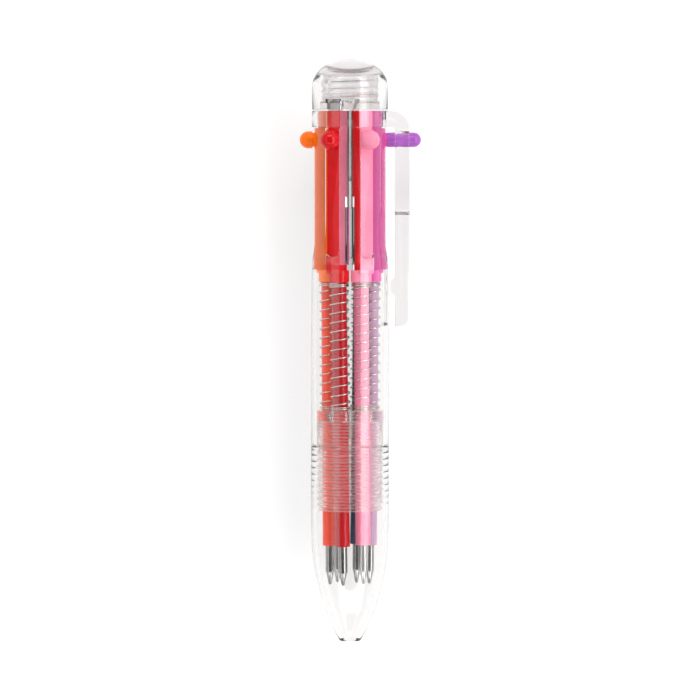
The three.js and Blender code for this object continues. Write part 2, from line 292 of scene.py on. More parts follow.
def plain_rod(radius, low, high, sides=96):
    """Cylinder on the pen's axis."""
    return turned([[0, low], [radius, low], [radius, high], [0, high]], sides)


def box_outline(low, high, radius, steps=4):
    """Rectangle between two corners with rounded corners."""
    (a, b), (c, d) = low, high
    return rounded([(a, b, radius), (c, b, radius), (c, d, radius), (a, d, radius)], steps=steps)


def slot_outline(spread):
    """U-shaped outline (y, z) of a slot, wider all round by spread."""
    half = SLOT_HALF + spread
    angle = np.linspace(-np.pi, 0, 25)
    bend = np.stack([half * np.cos(angle), SLOT_FOOT + SLOT_HALF + half * np.sin(angle)], -1)
    above = rib_top + CLEAR_OF_END
    return np.vstack([bend, [[half, above], [-half, above]]])


def slot_cutter():
    """The slot's outline at five distances from the axis, flared at the barrel's skin."""
    flare = [(BLADE_OUTER - 1, 0), (8.86, 0), (9.0, 0.07), (9.3, 0.5), (11, 0.5)]
    rows = [np.insert(slot_outline(spread), 0, distance, axis=1) for distance, spread in flare]
    return loft(rows)


def channel_cutter(inner, low):
    """The guide of one blade: a rounded rectangle carried up the pen from a height, with
    inner as its distance from the axis."""
    flat = box_outline((inner, -SLOT_HALF), (BLADE_OUTER + 0.2, SLOT_HALF), 0.2)
    return loft([np.insert(flat, 2, height, axis=1) for height in (low, rib_top + 3)])


DIRECTIONS = [0, 60, 120, 180, 240, 300]
combine(barrel, plain_rod(BORE, barrel_foot - CLEAR_OF_END, RIB_FOOT, SIDES), "DIFFERENCE")
combine(barrel, plain_rod(WELL_RADIUS, HUB_TOP, LEDGE), "DIFFERENCE")
combine(barrel, plain_rod(THROAT_RADIUS, LEDGE - 1, rib_top + CLEAR_OF_END), "DIFFERENCE")
through_hub = channel_cutter(4.2, RIB_FOOT - CLEAR_OF_END)
above_hub = channel_cutter(3.75, HUB_TOP)
for cutter in (through_hub, above_hub, slot_cutter()):
    six = together([(spun(cutter[0], angle), cutter[1]) for angle in DIRECTIONS])
    combine(barrel, six, "DIFFERENCE")
smooth(barrel)
clear = clear_plastic("clear_polystyrene", (0.972, 0.966, 0.962), 0.015)
done(barrel, clear, "barrel", "clear_plastic", "upper_barrel")

# ---------------------------------------------------------------- Guide post
# A clear pin pushed into the hub. A pressed slider's tooth lands on its top.

post_foot, post_top = up_pen("guide_post", 0), up_pen("guide_post", 1)
POST_RADIUS = 1.3
POST_FLANGE = 1.9
post_outline = rounded([(0, post_foot, 0), (POST_FLANGE, post_foot, 0.1),
                        (POST_FLANGE, post_foot + 0.7, 0.2), (POST_RADIUS, post_foot + 0.9, 0.3),
                        (POST_RADIUS, post_top, 0.45), (0, post_top, 0)], closed=False)
post = piece_of("latch_post", turned(post_outline, 64))
smooth(post)
done(post, clear, "barrel", "clear_plastic", "guide_post")

# ---------------------------------------------------------------- Sliders
# Six glossy moulded sliders. Each has a foot that holds its refill, a blade in the barrel's
# guide, a knob outside the slot, and a small latch tooth that reaches in to the middle.

# angle: the slot's place round the pen in degrees. seat: how much higher its refill sits than
# the green one, in mm. paint, inner, tube: colours of the slider, of its part inside the
# barrel, which is painted reflected light where given (the purple one's magenta stands for
# pink light thrown on it by the pink slider), and of the ink tube.
COLOURS = {
    # purple's inner magenta is a painted reflection of the pink slider's light
    "purple": dict(angle=0, seat=-0.05, paint=(0.36, 0.095, 0.46), inner=(0.62, 0.07, 0.33),
                   tube=(0.44, 0.265, 0.40)),
    "blue": dict(angle=60, seat=-0.15, paint=(0.030, 0.055, 0.16), tube=(0.045, 0.095, 0.15)),
    "green": dict(angle=120, seat=0.0, paint=(0.012, 0.14, 0.13), tube=(0.018, 0.095, 0.10)),
    "orange": dict(angle=180, seat=-0.1, paint=(1.0, 0.17, 0.002), tube=(0.95, 0.052, 0.003)),
    "red": dict(angle=240, seat=-0.05, paint=(0.60, 0.002, 0.005), tube=(0.42, 0.003, 0.008)),
    "pink": dict(angle=300, seat=0.35, paint=(0.86, 0.26, 0.39), tube=(0.74, 0.20, 0.33)),
}
KNOB_RADIUS, KNOB_END = 2.3, 12.4       # of a plain knob; these differ:
KNOB_RADII = {"purple": 1.84, "orange": 2.15, "red": 2.42, "pink": 2.42}
KNOB_ENDS = {"purple": 17.7, "orange": 12.55}
foot_low = up_pen("slider_red", 0)
blade_top = up_pen("slider_red", 1)
KNOB_HEIGHT = 125.4
KNOB_NECK = 1.75
UNDERSIDE = 9.35            # the knob's overhang, just off the barrel's skin
BLADE_INNER = 4.4
BLADE_HALF = 1.9
TONGUE_INNER = 3.95         # the blade's inner edge steps in above the ledge
TONGUE_OUTER = 7.6
TONGUE_HALF = 1.88
BLADE_EDGE = 0.22
TOOTH_INNER = 1.6
TOOTH_OUTER = 4.8
TOOTH_HALF = 0.6
FOOT_RADIUS = 2.5
SOCKET_RADIUS = 2.0
SOCKET_DEPTH = 2.2
REFILL_CIRCLE = 5.4         # radius that the refills hang on at the feet
NIB_CIRCLE = 5.05           # and at the tubes' low ends
REFILL_TWIST = 9            # degrees round the pen between the two
TUBE_FOOT = 24.1
TUBE_REACH = 1.9            # how far a tube goes into its foot


def glossy(name, colour, roughness=0.16, glow=0.06, shine=0.3, painted_glow=0.2, inner=None):
    """Glossy moulded plastic: its colour clouds a little with slow noise, light enters a short
    way, and a faint orange-peel bump breaks up the gloss. Its emission is a painted glow: it
    gives off a share of its own colour, standing for light that comes through it from behind,
    and so brightens it where it lies in shade. A second colour, if given, is painted on the
    part inside the barrel's skin as a painted reflection of a neighbour's coloured light."""
    material = bpy.data.materials.new(name)
    material.use_nodes = True
    tree = material.node_tree
    shader = tree.nodes["Principled BSDF"]
    where = tree.nodes.new("ShaderNodeTexCoord")
    cloud = tree.nodes.new("ShaderNodeTexNoise")
    cloud.inputs["Scale"].default_value = 220
    cloud.inputs["Detail"].default_value = 4
    ramp = tree.nodes.new("ShaderNodeValToRGB")
    ramp.color_ramp.elements[0].position = 0.3
    ramp.color_ramp.elements[1].position = 0.75
    ramp.color_ramp.elements[0].color = (*[c * 0.88 for c in colour], 1)
    ramp.color_ramp.elements[1].color = (*[min(1, c * 1.06 + 0.004) for c in colour], 1)
    bump = tree.nodes.new("ShaderNodeBump")
    bump.inputs["Strength"].default_value = 0.06
    bump.inputs["Distance"].default_value = 0.05 * MM
    tree.links.new(where.outputs["Object"], cloud.inputs["Vector"])
    tree.links.new(cloud.outputs["Fac"], ramp.inputs["Fac"])
    tint = ramp.outputs["Color"]
    # painted reflection: inside the barrel's skin the second colour stands for a neighbour's coloured
    # light
    if inner:
        across = tree.nodes.new("ShaderNodeSeparateXYZ")
        depth = tree.nodes.new("ShaderNodeMapRange")
        depth.inputs["From Min"].default_value = axis_y - 9.6 * MM
        depth.inputs["From Max"].default_value = axis_y - 9.0 * MM
        painted_bounce_mix = tree.nodes.new("ShaderNodeMix")
        painted_bounce_mix.data_type = "RGBA"
        painted_bounce_mix.inputs["B"].default_value = (*inner, 1)
        tree.links.new(where.outputs["Object"], across.inputs["Vector"])
        tree.links.new(across.outputs["Y"], depth.inputs["Value"])
        tree.links.new(depth.outputs["Result"], painted_bounce_mix.inputs["Factor"])
        tree.links.new(tint, painted_bounce_mix.inputs["A"])
        tint = painted_bounce_mix.outputs["Result"]
    tree.links.new(tint, shader.inputs["Base Color"])
    tree.links.new(cloud.outputs["Fac"], bump.inputs["Height"])
    tree.links.new(bump.outputs["Normal"], shader.inputs["Normal"])
    shader.inputs["Roughness"].default_value = roughness
    shader.inputs["Subsurface Weight"].default_value = glow
    shader.inputs["Subsurface Radius"].default_value = (1.0, 0.6, 0.5)
    shader.inputs["Subsurface Scale"].default_value = 0.6 * MM
    shader.inputs["Specular IOR Level"].default_value = shine
    # painted glow: the piece gives off its own colour, for light through it and to lift its shade
    shader.inputs["Emission Strength"].default_value = painted_glow
    tree.links.new(tint, shader.inputs["Emission Color"])
    return material


def eased_box(low, high, edge):
    """Box between two corners with every edge rounded: at edge * (1 - cos t) from either end its
    section, a rounded rectangle, is drawn in by edge * (1 - sin t), with t from 0 to a right
    angle."""
    rows = []
    for end, way in ((low[2], 1), (high[2], -1)):
        for t in np.linspace(0, np.pi / 2, 5)[::way]:
            inset = edge * (1 - np.sin(t))
            height = end + way * edge * (1 - np.cos(t))
            flat = box_outline((low[0] + inset, low[1] + inset),
                               (high[0] - inset, high[1] - inset), edge)
            rows.append(np.insert(flat, 2, height, axis=1))
    return loft(rows)


def knob_shape(radius, end):
    """A knob turned about its own axis, which points out of the pen: a neck from inside the
    blade, an overhang, and a dome (radius cos t, dome sin t)."""
    neck = min(KNOB_NECK, radius - 0.06)
    neck_foot = BLADE_OUTER - 0.6
    dome = min(radius, end - UNDERSIDE - 0.5)
    angle = np.linspace(0, np.pi / 2, 17)
    outline = np.vstack([
        [[0, neck_foot], [neck, neck_foot]],
        rounded([(neck, UNDERSIDE - 1, 0), (neck, UNDERSIDE, 0.02), (radius, UNDERSIDE, 0.04),
                 (radius, UNDERSIDE + 0.4, 0)], closed=False),
        np.stack([radius * np.cos(angle), end - dome + dome * np.sin(angle)], -1),
    ])
    outline[-1, 0] = 0
    points, faces = turned(outline, 72)
    return np.stack([points[:, 2], points[:, 1], KNOB_HEIGHT - points[:, 0]], -1), faces


def refill_point(angle, height):
    """Point at a height on the straight line that a refill lies on, which runs from its foot on
    REFILL_CIRCLE to a place on NIB_CIRCLE that is REFILL_TWIST degrees further round."""
    a, b = np.radians(angle), np.radians(angle + REFILL_TWIST)
    top = np.array([REFILL_CIRCLE * np.cos(a), REFILL_CIRCLE * np.sin(a), foot_low + TUBE_REACH])
    low = np.array([NIB_CIRCLE * np.cos(b), NIB_CIRCLE * np.sin(b), TUBE_FOOT])
    return low + (top - low) * (height - low[2]) / (top[2] - low[2])


def foot_shape():
    """Round foot with a blind socket for the refill tube, turned on its own axis."""
    ceiling, foot_top = foot_low + SOCKET_DEPTH, RIB_FOOT - 0.15
    outline = rounded([(0, ceiling, 0), (SOCKET_RADIUS, ceiling, 0.1), (SOCKET_RADIUS, foot_low, 0.08),
                       (FOOT_RADIUS, foot_low, 0.15), (FOOT_RADIUS, foot_top, 0.15),
                       (0, foot_top, 0)], closed=False)
    points, faces = turned(outline, 96)
    return points + [REFILL_CIRCLE, 0, 0], faces


for colour, facts in COLOURS.items():
    slider = piece_of(f"slider_{colour}_moulding", foot_shape())
    blade = eased_box((BLADE_INNER, -BLADE_HALF, RIB_FOOT - 0.9),
                      (BLADE_OUTER, BLADE_HALF, SHOULDER - 0.3), BLADE_EDGE)
    tongue = eased_box((TONGUE_INNER, -TONGUE_HALF, LEDGE + 2.6),
                       (TONGUE_OUTER, TONGUE_HALF, blade_top), BLADE_EDGE)
    tooth = eased_box((TOOTH_INNER, -TOOTH_HALF, KNOB_HEIGHT - 0.3),
                      (TOOTH_OUTER, TOOTH_HALF, KNOB_HEIGHT + 1.2), 0.12)
    knob = knob_shape(KNOB_RADII.get(colour, KNOB_RADIUS), KNOB_ENDS.get(colour, KNOB_END))
    for shape in (blade, tongue, tooth, knob):
        combine(slider, shape, "UNION")
    # the moulding was made under the clip, and is turned to its own slot
    local = np.empty(len(slider.data.vertices) * 3)
    slider.data.vertices.foreach_get("co", local)
    back = (local.reshape(-1, 3) - [rim_x, axis_y, axis_z]) / MM
    pen_points = np.stack([-back[:, 1], -back[:, 2], back[:, 0]], -1)
    slider.data.vertices.foreach_set("co", laid(spun(pen_points, facts["angle"])).ravel())
    slider.data.update()
    smooth(slider)
    # the purple slider's inner colour is painted pink reflected light
    paint = glossy(f"{colour}_plastic", facts["paint"], inner=facts.get("inner"))
    done(slider, paint, f"slider_{colour}", f"{colour}_slider", f"slider_{colour}")

# ---------------------------------------------------------------- Coupling insert
# Hazy moulding pressed into the barrel's foot. Its flange with six holes is the springs'
# seat, its threaded sleeve takes the nose, and a short pin hangs from the flange.

insert_low, insert_top = up_pen("coupling_insert", 0), up_pen("coupling_insert", 1)
nose_top = up_pen("nose_section", 1)
THREAD_ROOT = 7.9
THREAD_HEIGHT = 0.4
THREAD_PITCH = 1.6
SLEEVE_BORE = 7.3
FLANGE_RADIUS = 8.35
FLANGE_FOOT = 55.5
PIN_RADIUS = 1.1
PIN_FOOT = 51.5
HOLE_RADIUS = 2.1


def run(start, end, count):
    """Straight run of outline points, ends included."""
    return np.linspace(start, end, count)


def helix_ripple(low, high, pitch, height, inside, inward=False):
    """Radius added by a screw thread: a ridge of that height wherever z / pitch minus the angle
    in turns is near a whole number, fading in and out over half a pitch. inside is the one
    radius of the outline that carries the thread."""
    def ripple(a, r, z):
        phase = (z - low) / pitch - a / (2 * np.pi)
        away = np.abs((phase + 0.5) % 1 - 0.5)
        ridge = np.clip(1.5 - away * 4.2, 0, 1)     # a flat crest, then a slope to the root
        fade = np.clip((z - low) / (pitch / 2), 0, 1) * np.clip((high - z) / (pitch / 2), 0, 1)
        chosen = np.abs(r - inside) < 0.01
        return (-1 if inward else 1) * height * ridge * fade * chosen
    return ripple


sleeve = np.vstack([
    rounded([(0, FLANGE_FOOT, 0), (SLEEVE_BORE, FLANGE_FOOT, 0.3), (SLEEVE_BORE, insert_low, 0.15)],
            closed=False)[:-1],
    [[SLEEVE_BORE, insert_low + 0.2], [SLEEVE_BORE + 0.15, insert_low],
     [THREAD_ROOT - 0.2, insert_low]],
    run((THREAD_ROOT, insert_low + 0.4), (THREAD_ROOT, nose_top), 170),
    [[THREAD_ROOT, 49.4], [8.2, 49.6], [8.25, FLANGE_FOOT - 0.3], [FLANGE_RADIUS, FLANGE_FOOT]],
    rounded([(FLANGE_RADIUS, FLANGE_FOOT + 0.1, 0), (FLANGE_RADIUS, insert_top, 0.3),
             (0, insert_top, 0)], closed=False),
])
thread = helix_ripple(insert_low + 0.5, nose_top - 0.3, THREAD_PITCH, THREAD_HEIGHT, THREAD_ROOT)
insert = piece_of("coupling_insert_moulding", turned(sleeve, 144, thread))
pin_top = FLANGE_FOOT + 0.8
pin_outline = rounded([(0, PIN_FOOT, 0), (PIN_RADIUS, PIN_FOOT, 0.9), (PIN_RADIUS, pin_top, 0),
                       (0, pin_top, 0)], closed=False)
combine(insert, turned(pin_outline, 48), "UNION")
holes = []
for angle in DIRECTIONS:
    centre = refill_point(angle, (FLANGE_FOOT + insert_top) / 2)
    points, faces = plain_rod(HOLE_RADIUS, FLANGE_FOOT - 1, insert_top + 1, 64)
    holes.append((points + [centre[0], centre[1], 0], faces))
combine(insert, together(holes), "DIFFERENCE")
smooth(insert)
hazy = clear_plastic("hazy_plastic", (0.975, 0.955, 0.935), 0.09, haze=0.05, density=45,
                     streaks=390)
done(insert, hazy, "barrel", "hazy_plastic", "coupling_insert")

# ---------------------------------------------------------------- Springs
# Six compression springs of bright drawn wire, one round each refill tube, held between the
# insert's flange and the slider's foot. Pressing a slider flattens its spring on the flange.

SPRING_TURNS = 17.5
CLOSED_TURNS = 2.25
CLOSED_PITCH = 0.42
WIRE_RADIUS = 0.16
WIRE_SIDES = 10
COIL_RADIUS = 2.26
END_GAP = 0.05              # between the spring's ends and what they stand on


def along_refill(points, angle):
    """Points drawn about z, carried onto a refill's line: height z stays, and the section
    is set square to the line."""
    base = refill_point(angle, 0)
    way = refill_point(angle, 100) - base
    way = way / np.linalg.norm(way)
    side = np.cross([0, 1.0, 0], way)
    side = side / np.linalg.norm(side)
    frame_rows = np.stack([side, np.cross(way, side), way])
    return base + np.asarray(points) @ frame_rows


def spring_shape(low, high, start):
    """A round wire carried along a helix: at turn t its centre is at COIL_RADIUS and angle
    2 pi t, and it climbs CLOSED_PITCH per turn in the closed turns at the ends, evenly between."""
    turn = np.linspace(0, SPRING_TURNS, int(SPRING_TURNS * 36) + 1)
    active = SPRING_TURNS - 2 * CLOSED_TURNS
    opened = np.clip(turn - CLOSED_TURNS, 0, active)
    pitch = (high - low - 2 * WIRE_RADIUS - 2 * CLOSED_TURNS * CLOSED_PITCH) / active
    height = low + WIRE_RADIUS + opened * pitch + (turn - opened) * CLOSED_PITCH
    a = 2 * np.pi * turn + start
    out = np.stack([np.cos(a), np.sin(a), 0 * a], -1)
    centre = COIL_RADIUS * out + np.stack([0 * a, 0 * a, height], -1)
    ahead = np.gradient(centre, axis=0)
    ahead /= np.linalg.norm(ahead, axis=1, keepdims=True)
    up = np.cross(ahead, out)
    b = np.arange(WIRE_SIDES) * 2 * np.pi / WIRE_SIDES
    ring = np.cos(b)[:, None, None] * out + np.sin(b)[:, None, None] * up
    return loft(np.moveaxis(centre + WIRE_RADIUS * ring, 0, 1))


def metal(name, colour, roughness, scale):
    """Bright metal whose roughness varies in fine drawn streaks along the pen. scale is how
    fine they are along and across it, per metre."""
    material = bpy.data.materials.new(name)
    material.use_nodes = True
    tree = material.node_tree
    shader = tree.nodes["Principled BSDF"]
    shader.inputs["Base Color"].default_value = (*colour, 1)
    shader.inputs["Metallic"].default_value = 1.0
    where = tree.nodes.new("ShaderNodeTexCoord")
    stretch = tree.nodes.new("ShaderNodeMapping")
    stretch.inputs["Scale"].default_value = scale
    streaks = tree.nodes.new("ShaderNodeTexNoise")
    streaks.inputs["Scale"].default_value = 1.0
    streaks.inputs["Detail"].default_value = 5
    wear = tree.nodes.new("ShaderNodeMapRange")
    wear.inputs["To Min"].default_value = roughness * 0.6
    wear.inputs["To Max"].default_value = roughness * 1.6
    tree.links.new(where.outputs["Object"], stretch.inputs["Vector"])
    tree.links.new(stretch.outputs["Vector"], streaks.inputs["Vector"])
    tree.links.new(streaks.outputs["Fac"], wear.inputs["Value"])
    tree.links.new(wear.outputs["Result"], shader.inputs["Roughness"])
    return material


wire_metal = metal("spring_wire", (0.70, 0.665, 0.61), 0.16, (900, 2500, 2500))
spring_foot, spring_top = insert_top + END_GAP, foot_low - END_GAP
for colour, facts in COLOURS.items():
    first_coil = np.radians(facts["angle"] * 1.7 + 40)
    points, faces = spring_shape(spring_foot, spring_top, first_coil)
    spring = piece_of(f"spring_{colour}_coil", (along_refill(points, facts["angle"]), faces))
    smooth(spring, 60)
    done(spring, wire_metal, "barrel", "spring_steel", f"spring_{colour}")
    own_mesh(spring)

# ---------------------------------------------------------------- Refill tubes
# Six ink tubes, pushed into the sliders' feet and led through the insert's holes. A pressed
# tube bends to bring its nib to the middle, between the insert and the nose.

TUBE_RADIUS = 1.83
TUBE_BORE = 1.3
NIB_SOCKET = 3.6            # depth of the tube's bore that takes the nib


def inked(name, colour):
    """Ink-filled tube: a translucent wall with a soft gloss over colour that drifts a little
    along the tube, as the ink's film on the wall does."""
    # the tube gets a painted glow of its own colour, as the sliders do
    material = glossy(name, colour, roughness=0.14, glow=0.1, shine=0.4, painted_glow=0.12)
    tree = material.node_tree
    cloud = next(n for n in tree.nodes if n.type == "TEX_NOISE")
    where = next(n for n in tree.nodes if n.type == "TEX_COORD")
    stretch = tree.nodes.new("ShaderNodeMapping")
    stretch.inputs["Scale"].default_value = (0.25, 2, 2)
    tree.links.new(where.outputs["Object"], stretch.inputs["Vector"])
    tree.links.new(stretch.outputs["Vector"], cloud.inputs["Vector"])
    return material


for colour, facts in COLOURS.items():
    low, high = TUBE_FOOT + facts["seat"], foot_low + TUBE_REACH
    outline = rounded([(0, low + NIB_SOCKET, 0), (TUBE_BORE, low + NIB_SOCKET, 0.1),
                       (TUBE_BORE, low, 0.1), (TUBE_RADIUS, low, 0.12), (TUBE_RADIUS, high, 0.2),
                       (0, high, 0)], closed=False)
    long_run = run((TUBE_RADIUS, low + 1), (TUBE_RADIUS, foot_low + 1), 80)
    split = np.argmax((outline[:, 0] > TUBE_RADIUS - 1e-6) & (outline[:, 1] > low + 30))
    points, faces = turned(np.vstack([outline[:split], long_run, outline[split:]]), 64)
    tube = piece_of(f"refill_{colour}_tube", (along_refill(points, facts["angle"]), faces))
    smooth(tube)
    ink = inked(f"{colour}_ink", facts["tube"])
    done(tube, ink, None, f"{colour}_tube", f"refill_tube_{colour}")
    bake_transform(tube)

# ---------------------------------------------------------------- Nibs and writing balls
# A turned metal nib is pressed into each tube: a plain shank, a step and a long cone whose
# rolled lip holds the ball.

NIB_TIP = 14.75
BALL_RADIUS = 0.36
SHANK_RADIUS = 1.13
nib_metal = metal("nib_metal", (0.42, 0.415, 0.41), 0.11, (250, 2200, 2200))
ball_metal = metal("ball_metal", (0.22, 0.22, 0.23), 0.16, (3000, 3000, 3000))
for colour, facts in COLOURS.items():
    tip = NIB_TIP + facts["seat"]
    angle = np.linspace(-np.pi / 2, np.pi / 2, 17)
    sphere = np.stack([BALL_RADIUS * np.cos(angle), tip + BALL_RADIUS * np.sin(angle)], -1)
    sphere[[0, -1], 0] = 0
    # from the ball's seat round the rolled lip, up the cone to the step, and up the shank
    nib_outline = rounded([(0, tip + 0.42, 0), (0.4, tip + 0.3, 0.1), (0.4, tip - 0.02, 0.02),
                           (0.47, tip, 0.05), (0.56, tip + 0.85, 0.4), (0.98, tip + 2.7, 0.1),
                           (SHANK_RADIUS, tip + 2.85, 0.06), (SHANK_RADIUS, tip + 12.4, 0.2),
                           (0, tip + 12.5, 0)], closed=False)
    points, faces = turned(nib_outline, 72)
    nib = piece_of(f"nib_{colour}_turned", (along_refill(points, facts["angle"]), faces))
    smooth(nib)
    done(nib, nib_metal, f"nib_{colour}", "nib_metal", f"nib_{colour}")
    points, faces = turned(sphere, 32)
    ball = piece_of(f"ball_{colour}", (along_refill(points, facts["angle"]), faces))
    smooth(ball)
    done(ball, ball_metal, f"nib_{colour}", "ball_metal", f"nib_ball_{colour}")

# ---------------------------------------------------------------- Nose section
# Clear thin-walled moulding that screws onto the insert and narrows to the writing hole.


def spline(knots, count):
    """Smooth run through knots: a Catmull-Rom cubic between each pair, spaced evenly in index.
    With f from 0 to 1 between p1 and p2, it is (2 p1 + (p2 - p0) f + (2 p0 - 5 p1 + 4 p2 - p3) f^2
    + (3 p1 - p0 - 3 p2 + p3) f^3) / 2."""
    knots = np.asarray(knots, float)
    padded = np.vstack([2 * knots[0] - knots[1], knots, 2 * knots[-1] - knots[-2]])
    t = np.linspace(0, len(knots) - 1 - 1e-9, count)
    i = t.astype(int)
    f = (t - i)[:, None]
    p0, p1, p2, p3 = (padded[i + k] for k in range(4))
    return 0.5 * (2 * p1 + (p2 - p0) * f + (2 * p0 - 5 * p1 + 4 * p2 - p3) * f**2
                  + (3 * p1 - p0 - 3 * p2 + p3) * f**3)


NOSE_BORE = 8.62
WRITING_HOLE = 1.65
RIM_RADIUS = 2.6
# both runs are (radius, height) in mm: the outside upwards, the inside downwards
nose_outside = spline([(2.8, 0.35), (3.9, 2.3), (5.05, 4.9), (6.15, 7.45), (7.0, 10), (7.75, 12.55),
                       (8.36, 15.1), (8.86, 17.65), (9.22, 20.2), (9.5, 22.75), (9.68, 27),
                       (9.74, 32)], 90)
nose_inside = spline([(8.6, 31.6), (8.5, 28.5), (8.25, 22.75), (7.55, 17.65), (6.45, 12.55),
                      (4.9, 7.45), (3.6, 4.6), (2.3, 2.0)], 60)
nose_outline = np.vstack([
    rounded([(WRITING_HOLE, 1.1, 0), (WRITING_HOLE, 0, 0.35), (RIM_RADIUS, 0, 0.3),
             tuple(nose_outside[0]) + (0,)], closed=False)[:-1],
    nose_outside,
    rounded([(GRIP_RADIUS, 33, 0), (GRIP_RADIUS, nose_top, 0.15), (NOSE_BORE + 0.1, nose_top, 0.1),
             (NOSE_BORE, nose_top - 0.3, 0)], closed=False),
    run((NOSE_BORE, nose_top - 0.5), (NOSE_BORE, insert_low - 0.6), 160),
    nose_inside,
])
female_thread = helix_ripple(insert_low - 0.2, nose_top - 0.8, THREAD_PITCH, 0.06, NOSE_BORE,
                             inward=True)
nose = piece_of("nose_shell", turned(nose_outline, SIDES, female_thread))
smooth(nose)
done(nose, clear, "nose", "clear_plastic", "nose_section")

# ---------------------------------------------------------------- Top plug
# Clear plug whose flange sits on the ribs. The dome screws onto it, and its long pointed
# pin hangs between the sliders' teeth.

plug_top = up_pen("top_plug", 1)
dome_foot = up_pen("dome_cap", 0)
PLUG_ROOT = 6.95
PLUG_FLANGE = 7.5
PLUG_THREAD_FOOT = 135.4
LATCH_PIN = 1.15
LATCH_TIP = 115
PIN_COLLAR = 2.3
CUP_RADIUS = 5.6            # the plug is hollow above
CUP_FLOOR = 136.6
plug_outline = np.vstack([
    rounded([(0, LATCH_TIP, 0), (0.35, LATCH_TIP, 0.15), (LATCH_PIN, 116.6, 0.4),
             (LATCH_PIN, 130.4, 0.5), (PIN_COLLAR, 131.2, 0.3), (PIN_COLLAR, dome_foot, 0.2),
             (PLUG_FLANGE, dome_foot, 0.15), (PLUG_FLANGE, 135.2, 0.2), (PLUG_ROOT, 135.3, 0)],
            closed=False),
    run((PLUG_ROOT, PLUG_THREAD_FOOT), (PLUG_ROOT, plug_top - 0.2), 90),
    rounded([(PLUG_ROOT - 0.1, plug_top, 0), (CUP_RADIUS, plug_top, 0.15), (CUP_RADIUS, CUP_FLOOR, 0.4),
             (0, CUP_FLOOR, 0)], closed=False),
])
plug_thread = helix_ripple(PLUG_THREAD_FOOT, plug_top - 0.2, 1.45, 0.22, PLUG_ROOT)
plug = piece_of("top_plug_moulding", turned(plug_outline, 144, plug_thread))
smooth(plug)
soft = clear_plastic("soft_clear_plastic", (0.975, 0.97, 0.967), 0.06, haze=0.12)
done(plug, soft, "barrel", "clear_plastic", "top_plug")

# ---------------------------------------------------------------- Pocket clip
# One clear moulding: a collar clamped under the dome, a shoulder, and a springy arm with a
# slot for the long knob and a bump that grips the pocket.

collar_foot, collar_top = up_pen("clip_collar", 0), up_pen("clip_collar", 1)
arm_end = up_pen("clip_arm", 0)
CLIP_INNER = 11.2
CLIP_OUTER = 14.8
CLIP_HALF = 3.5
CLIP_EDGE = 0.4
COLLAR_RADIUS = 9.5
COLLAR_BORE = 8.45
BUMP_TIP = 10.05            # how near the arm's bump comes to the axis
ARM_SLOT_FOOT = 106.6


def clip_outline():
    """Side view (x, z) of shoulder and arm: the shoulder's back is a quarter of an ellipse."""
    angle = np.linspace(0, np.pi / 2, 25)
    back = np.stack([COLLAR_RADIUS + (CLIP_OUTER - COLLAR_RADIUS) * np.cos(angle),
                     collar_foot + (collar_top - collar_foot) * np.sin(angle)], -1)
    front = rounded([(8.9, collar_top, 0), (8.9, collar_foot, 0), (CLIP_INNER, collar_foot, 0.5),
                     (CLIP_INNER, 91.3, 0.4), (10.4, 90.3, 0.6), (BUMP_TIP, 89.3, 0.5),
                     (BUMP_TIP, 88.2, 0.5), (10.4, 87.2, 0.6), (CLIP_INNER, 86.2, 0.4),
                     (CLIP_INNER + 0.1, arm_end, 0.5), (13.4, arm_end + 0.3, 1.0),
                     (14.45, arm_end + 1.2, 1.0), (14.55, 91, 4), (CLIP_OUTER, 95, 4),
                     (CLIP_OUTER, collar_foot, 0)], closed=False)
    return np.vstack([front, back[1:]])


def moved_in(outline, distance):
    """Outline with every point moved inwards, square to the curve, by distance. Inwards is to
    the left of the way round when the area, the sum of x1 z2 - z1 x2, is positive."""
    ahead = np.roll(outline, -1, 0) - np.roll(outline, 1, 0)
    ahead /= np.linalg.norm(ahead, axis=1, keepdims=True)
    (x1, z1), (x2, z2) = outline.T, np.roll(outline, -1, 0).T
    area = np.sum(x1 * z2 - z1 * x2)
    inward = np.stack([-ahead[:, 1], ahead[:, 0]], -1) * np.sign(area)
    return outline + inward * distance


side_view = clip_outline()
clip_rows = []
for way in (-1, 1):
    for t in np.linspace(0, np.pi / 2, 5)[::-way]:
        flat = moved_in(side_view, CLIP_EDGE * (1 - np.sin(t)))
        across = way * (CLIP_HALF - CLIP_EDGE * (1 - np.cos(t)))
        clip_rows.append(np.insert(flat, 1, across, axis=1))
clip = piece_of("pocket_clip", loft(clip_rows))
arm_slot = box_outline((ARM_SLOT_FOOT, -SLOT_HALF - 0.1), (KNOB_HEIGHT + 2.2, SLOT_HALF + 0.1), 1.6, 10)
slot_rows = [np.insert(arm_slot[:, ::-1], 0, x, axis=1) for x in (CLIP_INNER - 1.5, CLIP_OUTER + 1)]
combine(clip, loft(slot_rows), "DIFFERENCE")
inside_collar = plain_rod(COLLAR_RADIUS - 0.35, collar_foot - CLEAR_OF_END,
                          collar_top + CLEAR_OF_END, SIDES)
combine(clip, inside_collar, "DIFFERENCE")
collar = rounded([(COLLAR_BORE, collar_foot, 0.12), (COLLAR_RADIUS, collar_foot, 0.15),
                  (COLLAR_RADIUS, collar_top, 0.15), (COLLAR_BORE, collar_top, 0.12)])
combine(clip, turned(collar), "UNION")
smooth(clip)
done(clip, clear, None, "clear_plastic", "clip_collar", "clip_arm")
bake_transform(clip)

# ---------------------------------------------------------------- Dome cap
# Clear hollow dome that screws onto the plug and clamps the clip's collar.

